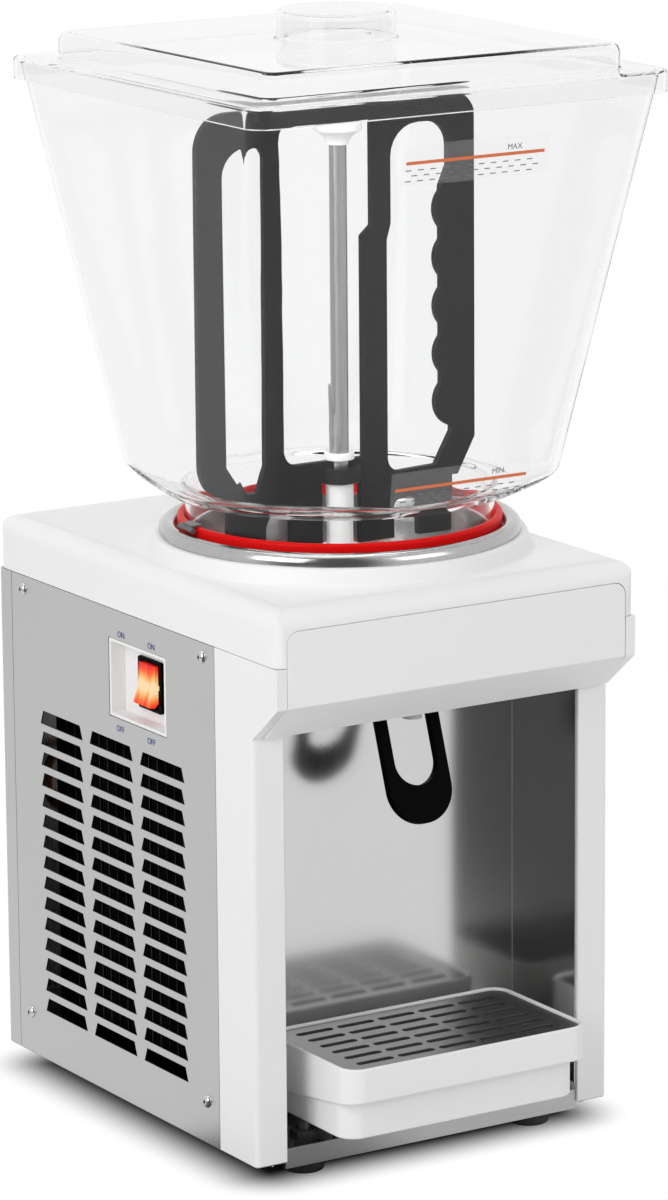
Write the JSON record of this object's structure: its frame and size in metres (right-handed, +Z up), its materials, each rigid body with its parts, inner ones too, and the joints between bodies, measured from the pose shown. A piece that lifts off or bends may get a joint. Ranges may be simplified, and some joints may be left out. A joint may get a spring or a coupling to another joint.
{
  "type": "juice dispenser",
  "caption": "Counter-top cold drink dispenser: stainless cabinet, clear square bowl with mixing paddle, push-lever pinch tap and drip tray",
  "frame": {"origin": "on the table, under the middle of the whole machine's box", "axes": "+Z up, -Y towards the user (fascia, tap and tray), +X to the user's right"},
  "size_m": [0.299, 0.3634, 0.705],
  "materials": {
    "stainless": "satin, fine vertical grain",
    "dark_steel": "satin grey",
    "bright_steel": "polished",
    "zinc_sheet": "dull zinc",
    "white_paint": "semi-gloss white",
    "white_plastic": "smooth, semi-gloss",
    "black_plastic": "satin black",
    "dark_grey_plastic": "satin dark grey",
    "black_rubber": "matt",
    "red_silicone": "soft sheen",
    "pale_silicone": "soft sheen",
    "clear_plastic": "clear, polished",
    "lit_red": "translucent, lit",
    "copper": "bare copper",
    "foam": "closed-cell foam",
    "black_enamel": "black enamel",
    "aluminium": "bare",
    "ivory_plastic": "matt"
  },
  "bodies": {
    "cabinet": {"base_plate": "stainless", "rubber_feet": "black_rubber", "foot_studs": "dark_steel", "side_panel_left": "stainless", "side_panel_right": "stainless", "back_panel": "stainless", "column_left": "white_paint", "column_right": "white_paint", "alcove_liner": "stainless", "deck_plate": "zinc_sheet", "top_cover": "white_plastic", "front_fascia": "white_plastic", "panel_screws": "bright_steel", "column_screws": "bright_steel", "switch_box": "white_plastic", "switch_bezel": "black_plastic", "evaporator_dish": "stainless", "evaporator_coil": "copper", "insulation": "foam", "standpipe": "white_plastic", "bowl_seal": "red_silicone", "seal_clip": "dark_steel", "gear_motor": "aluminium", "tap_bracket": "zinc_sheet", "lever_pin": "bright_steel", "lever_spring": "bright_steel", "outlet_nipple": "bright_steel", "pinch_tube": "pale_silicone", "tray_shelf": "zinc_sheet", "compressor": "black_enamel", "compressor_mounts": "black_rubber", "condenser": "black_enamel", "fan_shroud": "black_plastic", "fan_motor": "black_plastic", "filter_drier": "copper", "refrigerant_pipes": "copper", "thermostat": "ivory_plastic", "terminal_block": "ivory_plastic", "cord_gland": "black_rubber"},
    "bowl": {"bowl": "clear_plastic"},
    "lid": {"lid": "clear_plastic"},
    "agitator": {"agitator_paddle": "dark_grey_plastic", "agitator_rod": "bright_steel", "rod_cap": "white_plastic", "hub_collar": "white_plastic"},
    "drive": {"drive_coupling": "bright_steel"},
    "tap_lever": {"tap_lever": "black_plastic", "pinch_bar": "bright_steel"},
    "rocker": {"switch_rocker": "lit_red"},
    "drip_tray": {"drip_tray": "white_plastic"},
    "drip_grille": {"drip_grille": "dark_steel"},
    "fan": {"fan_blades_wheel": "black_plastic"}
  },
  "joints": [
    {"name": "bowl_lift", "type": "slide", "parent": "cabinet", "child": "bowl", "axis": [0, 0, 1], "range_m": [0, 0.11]},
    {"name": "lid_lift", "type": "slide", "parent": "bowl", "child": "lid", "axis": [0, 0, 1], "range_m": [0, 0.05]},
    {"name": "agitator_spin", "type": "hinge", "parent": "bowl", "child": "agitator", "pos_m": [0, -0.03225, 0.403], "axis": [0, 0, 1], "continuous": true},
    {"name": "drive_spin", "type": "hinge", "parent": "cabinet", "child": "drive", "pos_m": [0, -0.03225, 0.333], "axis": [0, 0, 1], "continuous": true},
    {"name": "tap_push", "type": "hinge", "parent": "cabinet", "child": "tap_lever", "pos_m": [0, -0.09625, 0.305], "axis": [1, 0, 0], "range_deg": [0, 20], "stiffness_Nm_per_rad": 0.5, "springref_deg": -28.65},
    {"name": "switch_rock", "type": "hinge", "parent": "cabinet", "child": "rocker", "pos_m": [-0.121, -0.00125, 0.289], "axis": [0, -1, 0], "range_deg": [0, 20]},
    {"name": "tray_pull", "type": "slide", "parent": "cabinet", "child": "drip_tray", "axis": [0, -1, 0], "range_m": [0, 0.11]},
    {"name": "grille_lift", "type": "slide", "parent": "drip_tray", "child": "drip_grille", "axis": [0, 0, 1], "range_m": [0, 0.03]},
    {"name": "fan_spin", "type": "hinge", "parent": "cabinet", "child": "fan", "pos_m": [-0.07, 0.03305, 0.13], "axis": [1, 0, 0], "continuous": true}
  ],
  "couplings": [
    {"joint": "drive_spin", "follows": "agitator_spin", "ratio": 1}
  ]
}
